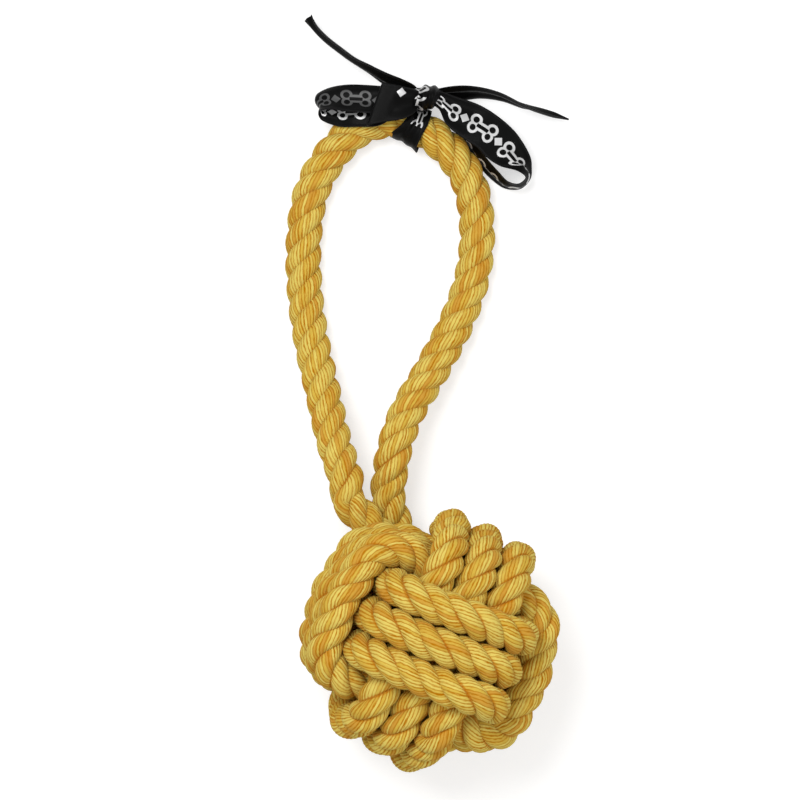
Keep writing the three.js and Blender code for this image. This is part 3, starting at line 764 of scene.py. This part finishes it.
# A ribbon's row: the middle of its width, across and along as shares of the bow's span and up as a share
# of the height that the rope gives the bow, then the ribbon's breadth there as shares of its full width.
LEFT_LOOP_SHARES = [
    ((-0.037, -0.011, 1.01), (0.05, 0.23, 0.00)),
    ((-0.082, -0.014, 1.18), (0.05, 0.47, 0.00)),
    ((-0.137, -0.022, 1.28), (0.00, 0.76, -0.06)),
    ((-0.252, -0.008, 1.32), (0.00, 0.74, -0.32)),
    ((-0.364, -0.002, 1.29), (-0.03, 0.70, -0.48)),
    ((-0.445, -0.006, 1.10), (-0.06, 0.56, -0.42)),
    ((-0.491, -0.024, 0.88), (-0.08, 0.44, -0.30)),
    ((-0.484, -0.052, 0.72), (-0.08, 0.50, -0.20)),
    ((-0.403, -0.068, 0.83), (-0.05, 0.70, -0.28)),
    ((-0.318, -0.066, 1.02), (-0.03, 0.76, -0.32)),
    ((-0.208, -0.056, 1.08), (-0.03, 0.80, -0.28)),
    ((-0.110, -0.023, 0.99), (0.05, 0.49, -0.16)),
    ((-0.044, -0.023, 0.82), (0.03, 0.21, -0.06)),
]
RIGHT_LOOP_SHARES = [
    ((0.025, -0.005, 1.07), (0.03, 0.26, 0.00)),
    ((0.066, -0.011, 1.18), (0.03, 0.44, 0.03)),
    ((0.124, -0.060, 1.19), (0.26, 0.73, 0.01)),
    ((0.220, -0.112, 1.13), (0.47, 0.86, -0.06)),
    ((0.295, -0.160, 1.08), (0.60, 0.78, -0.16)),
    ((0.359, -0.222, 1.01), (0.76, 0.65, -0.19)),
    ((0.416, -0.288, 0.87), (0.80, 0.26, -0.20)),
    ((0.463, -0.327, 0.74), (0.36, 0.10, -0.62)),
    ((0.477, -0.366, 0.62), (0.13, -0.02, -0.82)),
    ((0.440, -0.403, 0.58), (0.06, -0.10, -0.88)),
    ((0.380, -0.398, 0.56), (-0.06, -0.15, -0.90)),
    ((0.328, -0.357, 0.54), (-0.14, -0.19, -0.86)),
    ((0.273, -0.297, 0.51), (-0.18, -0.18, -0.79)),
    ((0.220, -0.220, 0.49), (-0.16, -0.12, -0.78)),
    ((0.172, -0.153, 0.49), (-0.12, -0.10, -0.77)),
    ((0.119, -0.094, 0.50), (-0.05, -0.08, -0.75)),
    ((0.076, -0.044, 0.53), (-0.03, -0.08, -0.69)),
    ((0.037, -0.014, 0.60), (0.00, -0.05, -0.44)),
]
LEFT_TAIL_SHARES = [
    ((-0.027, 0.016, 0.72), (-0.05, -0.18, -0.44)),
    ((-0.057, 0.034, 0.66), (-0.08, -0.29, -0.69)),
    ((-0.114, 0.060, 0.63), (-0.10, -0.31, -0.75)),
    ((-0.181, 0.092, 0.60), (-0.08, -0.26, -0.81)),
    ((-0.256, 0.137, 0.60), (-0.05, -0.16, -0.88)),
    ((-0.323, 0.174, 0.58), (-0.03, -0.10, -0.91)),
    ((-0.389, 0.222, 0.57), (-0.05, -0.08, -0.88)),
    ((-0.456, 0.275, 0.53), (-0.03, -0.10, -0.81)),
    ((-0.506, 0.327, 0.47), (-0.08, -0.08, -0.69)),
    ((-0.538, 0.375, 0.41), (-0.19, -0.15, -0.36)),
]
RIGHT_TAIL_SHARES = [
    ((0.023, 0.016, 0.72), (0.00, -0.13, -0.44)),
    ((0.060, 0.021, 0.69), (0.00, -0.23, -0.62)),
    ((0.158, 0.025, 0.72), (0.08, -0.34, -0.81)),
    ((0.252, 0.027, 0.74), (0.10, -0.26, -0.91)),
    ((0.357, 0.007, 0.71), (0.10, -0.18, -0.91)),
    ((0.451, -0.032, 0.68), (0.03, -0.05, -0.91)),
    ((0.552, -0.060, 0.58), (0.03, 0.13, -0.80)),
    ((0.664, -0.094, 0.44), (-0.02, 0.02, -0.12)),
]
FOLD_SHARES = [
    ((-0.020, -0.006, 1.20), (0.03, 0.31, 0.00)),
    ((-0.049, -0.019, 1.39), (0.05, 0.64, 0.01)),
    ((-0.095, -0.027, 1.51), (0.10, 0.83, 0.03)),
    ((-0.162, -0.028, 1.54), (0.29, 0.98, 0.04)),
    ((-0.227, -0.031, 1.51), (0.40, 1.12, 0.03)),
    ((-0.229, -0.031, 1.44), (0.40, 1.12, 0.03)),
    ((-0.215, -0.031, 1.41), (0.38, 1.08, 0.03)),
]


def grid_normals(grid, closed):
    if closed:
        along_grid = np.roll(grid, -1, axis=0) - np.roll(grid, 1, axis=0)
    else:
        along_grid = np.gradient(grid, axis=0)
    return unit(np.cross(along_grid, np.gradient(grid, axis=1)))


def cloth(name, grid, across_mm, front, back, closed=False):
    """A sheet of even thickness round a grid of rows along the ribbon.

    It may be closed into a ring. A ring's outer side is the back.
    """
    rows, columns = grid.shape[:2]
    half = grid_normals(grid, closed) * CLOTH / 2
    corners = np.vstack([(grid + half).reshape(-1, 3), (grid - half).reshape(-1, 3)])
    corners[:, 2] = np.maximum(corners[:, 2], 0)
    middle = grid[:, columns // 2]
    if closed:
        middle = np.vstack([middle, middle[0]])
    steps = np.linalg.norm(np.diff(middle, axis=0), axis=1)
    along_mm = np.concatenate([[0], np.cumsum(steps)])
    low = rows * columns
    faces, uvs, side_of = [], [], []

    def quad(places, side):
        faces.append([(i % rows) * columns + j + layer for i, j, layer in places])
        uvs.extend((across_mm[j], along_mm[i]) for i, j, layer in places)
        side_of.append(side)

    for i in range(rows if closed else rows - 1):
        for j in range(columns - 1):
            top = [(i, j, 0), (i + 1, j, 0), (i + 1, j + 1, 0), (i, j + 1, 0)]
            quad(top, FRONT)
            quad([(a, b, low) for a, b, layer in reversed(top)], BACK)
        last = columns - 1
        quad([(i, 0, low), (i + 1, 0, low), (i + 1, 0, 0), (i, 0, 0)], BACK)
        quad([(i, last, 0), (i + 1, last, 0), (i + 1, last, low), (i, last, low)], BACK)
    if not closed:
        last = rows - 1
        for j in range(columns - 1):
            quad([(0, j, low), (0, j, 0), (0, j + 1, 0), (0, j + 1, low)], BACK)
            quad([(last, j, 0), (last, j, low), (last, j + 1, low), (last, j + 1, 0)], BACK)
    return mesh_object(name, corners, faces, {"fibre": uvs}, [front, back], side_of)


def declare_ribbon(piece, node):
    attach(piece, "handle")
    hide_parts(node)


def ribbon_strip(node, row_shares, front, back, pleats, held, rests_on):
    """A stretch of ribbon between two smooth edges, pleated where it is gathered, to keep its width."""
    rows = np.array(row_shares)
    middle = bow_knot_point * [1, 1, 0] + rows[:, 0] * [BOW_SPAN, BOW_SPAN, bow_rise]
    half = rows[:, 1] * RIBBON_WIDTH / 2
    places = np.linspace(0, 1, ROW_STEPS * (len(rows) - 1) + 1)
    left = curve_points(middle + half, places)
    right = curve_points(middle - half, places)
    share = np.linspace(0, 1, ACROSS + 1)
    grid = left[:, None, :] * (1 - share)[:, None] + right[:, None, :] * share[:, None]
    face = grid_normals(grid, False)
    breadth = np.linalg.norm(left - right, axis=1)
    spare = np.sqrt(np.maximum(RIBBON_WIDTH - breadth, 0) * breadth) / (math.pi * pleats)
    most = np.minimum(MOST_PLEAT, PLEAT_SHARE * breadth)
    pleat = np.minimum(spare, most)[:, None] * np.sin(TAU * pleats * share + PLEAT_PHASE)
    grid = grid + (pleat * np.sin(math.pi * share) ** PLEAT_EASE)[..., None] * face
    across_mm = RIBBON_WIDTH * (0.5 - share)
    piece = cloth(f"satin_{node}", grid, across_mm, front, back)
    declare_ribbon(piece, node)


def make_bow():
    on_rope = (LOOP_PLEATS, "folded", ["rope_handle"])
    on_loop = (LOOP_PLEATS, "folded", ["satin_bow_loop_left"])
    on_knot = (TAIL_PLEATS, "hung", ["satin_ribbon_knot"])
    ribbon_strip("bow_loop_left", LEFT_LOOP_SHARES, satin_inside, satin_front, *on_rope)
    ribbon_strip("bow_loop_right", RIGHT_LOOP_SHARES, satin_back, satin_front, *on_rope)
    ribbon_strip("bow_fold", FOLD_SHARES, satin_fold, satin_back, *on_loop)
    ribbon_strip("ribbon_tail_left", LEFT_TAIL_SHARES, satin_back, satin_back, *on_knot)
    ribbon_strip("ribbon_tail_right", RIGHT_TAIL_SHARES, satin_back, satin_back, *on_knot)


make_bow()

# Each row: degrees round the rope from its top towards the bow, and the collar's edges in ribbon widths.
COLLAR_SHARES = [
    (-180, -0.42, 0.40),
    (-130, -0.40, 0.40),
    (-90, -0.40, 0.40),
    (-55, -0.43, 0.34),
    (-15, -0.25, 0.37),
    (13, -0.16, 0.41),
    (45, -0.16, 0.40),
    (70, -0.20, 0.38),
    (120, -0.30, 0.38),
]
COLLAR_ROWS = 96
COLLAR_ALONG = 0.01  # of the handle's length, to either side, for the rope's direction under the collar
COLLAR_PLEATS = 2.4  # over the ribbon's width
COLLAR_LEAST_PLEAT = 0.12
COLLAR_GATHER = 0.8  # how much deeper the pleats get where the collar is gathered
COLLAR_PLEAT_DRIFT = 0.8  # of the pleats round the rope, in radians for each radian
COLLAR_TIP = 2.4  # how far the ribbon's corner stands off the rope, inside the loop
COLLAR_TIP_TURN = -78  # degrees round the rope
COLLAR_TIP_REACH = 40  # degrees to either side of it
COLLAR_TIP_POWER = 3  # a high power keeps the lift at the corner


def make_collar():
    shares = [BOW_PLACE_SHARE - COLLAR_ALONG, BOW_PLACE_SHARE + COLLAR_ALONG]
    before, after = points_along(handle_route, shares)
    tangent = unit(after - before)
    outward = unit(np.cross(up, tangent))
    table = np.array(COLLAR_SHARES)
    table = np.vstack([table, table[0] + [360, 0, 0]])
    degrees = np.linspace(-180, 180, COLLAR_ROWS, endpoint=False)
    angle = np.radians(degrees)[:, None]
    left, right = (np.interp(degrees, table[:, 0], table[:, k]) for k in (1, 2))
    share = np.linspace(0, 1, ACROSS + 1)
    place = RIBBON_WIDTH * (left[:, None] + (right - left)[:, None] * share)
    depth = COLLAR_LEAST_PLEAT + COLLAR_GATHER * (1 - (right - left))
    pleat = depth[:, None] * np.sin(TAU * COLLAR_PLEATS * share + COLLAR_PLEAT_DRIFT * angle)
    tip = COLLAR_TIP * np.exp(-(((degrees - COLLAR_TIP_TURN) / COLLAR_TIP_REACH) ** 2))
    tip = tip[:, None] * share**COLLAR_TIP_POWER
    radius = collar_radius + pleat * np.sin(math.pi * share) + tip
    round_rope = np.cos(angle)[..., None] * up + np.sin(angle)[..., None] * outward
    grid = collar_middle + place[..., None] * tangent + radius[..., None] * round_rope
    across_mm = RIBBON_WIDTH * (share - 0.5)
    piece = cloth("satin_collar", grid, across_mm, satin_back, satin_round, closed=True)
    declare_ribbon(piece, "ribbon_collar")


make_collar()

KNOT_ROWS = 64
KNOT_PLEATS = 3
KNOT_PLEAT_DEPTH = 0.09  # as a share of the band's radius
KNOT_PLEAT_DRIFT = 1.6
KNOT_PLEAT_PHASE = 0.4
KNOT_END_SHARE = 0.55  # the band's radius where it turns in at its ends
KNOT_END_EASE = 0.7
KNOT_SWELL = np.array([1, 1.5, 3.2])  # the drawn band is this much larger than its plain solid
KNOT_LIFT = 2  # and this much higher
KNOT_LEAN = 1.6  # its front and back are this far out of line
KNOT_WIDTH_SHARE = 0.7  # how much of the ribbon's width the folded band shows
KNOT_PRINT_SHIFT = 3.6  # which leaves only the print's edge in sight


def make_bow_knot():
    wide, deep, high = np.array([BOW_KNOT_WIDTH, BOW_KNOT_DEPTH, BOW_KNOT_HEIGHT]) + KNOT_SWELL
    share = np.linspace(0, 1, ACROSS + 1)
    place = (share - 0.5) * wide
    profile = KNOT_END_SHARE + (1 - KNOT_END_SHARE) * np.sin(math.pi * share) ** KNOT_END_EASE
    angle = np.linspace(0, TAU, KNOT_ROWS, endpoint=False)[:, None]
    phase = TAU * KNOT_PLEATS * share + KNOT_PLEAT_DRIFT * np.sin(angle) + KNOT_PLEAT_PHASE
    pleat = 1 - KNOT_PLEAT_DEPTH * np.cos(phase)
    back = deep / 2 * profile * pleat * np.sin(angle)
    rise = high / 2 * profile * pleat * np.cos(angle)
    lean = KNOT_LEAN * np.sin(angle) * np.ones_like(share)
    grid = np.stack([place + lean, back, rise], axis=-1) + bow_knot_point + [0, 0, KNOT_LIFT]
    across_mm = RIBBON_WIDTH * KNOT_WIDTH_SHARE * (share - 0.5) + KNOT_PRINT_SHIFT
    piece = cloth("satin_ribbon_knot", grid, across_mm, satin_back, satin_front, closed=True)
    declare_ribbon(piece, "ribbon_knot")


make_bow_knot()

# The ball is inside the knot

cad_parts["core_ball"].material_slots[0].material = rubber_material()

# Floor, lamps and the world

FLOOR_SIZE = 8000
FLOOR_DROP = 0.2  # the floor's sheet lies this far under the toy
FLOOR_COLOUR = (0.62, 0.62, 0.62)
FLOOR_GLOW = 0.52  # makes the lit floor white where the background is seen
WORLD_LEVEL = 0.55  # the world's light on the toy
BACKGROUND_LEVEL = 1.0
WHITE = (1, 1, 1, 1)
KEY_PLACE = (-400, 500, 1400)
KEY_SIZE = 700
KEY_POWER = 13
FILL_PLACE = (900, -300, 1200)
FILL_SIZE = 1200
FILL_POWER = 5


def background_rays(m):
    """1 for the rays that see the background: the camera's, and those off or through something shiny."""
    seen = m.add("ShaderNodeLightPath").outputs
    rays = m.math("MAXIMUM", seen["Is Camera Ray"], seen["Is Glossy Ray"])
    return m.math("MAXIMUM", rays, seen["Is Transmission Ray"])


def make_floor():
    m = material_nodes("floor")
    m.set(Base_Color=(*FLOOR_COLOUR, 1), Roughness=0.9, Specular_IOR_Level=0)
    m.set(Emission_Color=WHITE, Emission_Strength=m.math("MULTIPLY", background_rays(m), FLOOR_GLOW))
    half = FLOOR_SIZE / 2
    outline = [(-half, -half), (half, -half), (half, half), (-half, half)]
    corners = np.array([(x, y, -FLOOR_DROP) for x, y in outline])
    mesh_object("floor", corners, [(0, 1, 2, 3)], {}, [m.owner])


def make_world():
    m = Nodes(bpy.data.worlds.new("world"), "Background")
    levels = {"Value": background_rays(m), "To Min": WORLD_LEVEL, "To Max": BACKGROUND_LEVEL}
    m.set(Color=WHITE, Strength=m.add("ShaderNodeMapRange", levels).outputs[0])
    bpy.context.scene.world = m.owner


def make_lamp(name, place, size, power):
    data = bpy.data.lights.new(name, "AREA")
    data.shape = "DISK"
    data.size = size * MM
    data.energy = power
    lamp = bpy.data.objects.new(name, data)
    lamp.location = np.array(place) * MM
    aim = Vector((*PHOTO_MIDDLE, 0)) - Vector(place)
    lamp.rotation_mode = "QUATERNION"
    lamp.rotation_quaternion = aim.to_track_quat("-Z", "Y")
    bpy.context.collection.objects.link(lamp)


make_floor()
make_world()
make_lamp("key", KEY_PLACE, KEY_SIZE, KEY_POWER)
make_lamp("fill", FILL_PLACE, FILL_SIZE, FILL_POWER)
bpy.context.scene.view_settings.view_transform = "Standard"

bpy.context.view_layer.update()
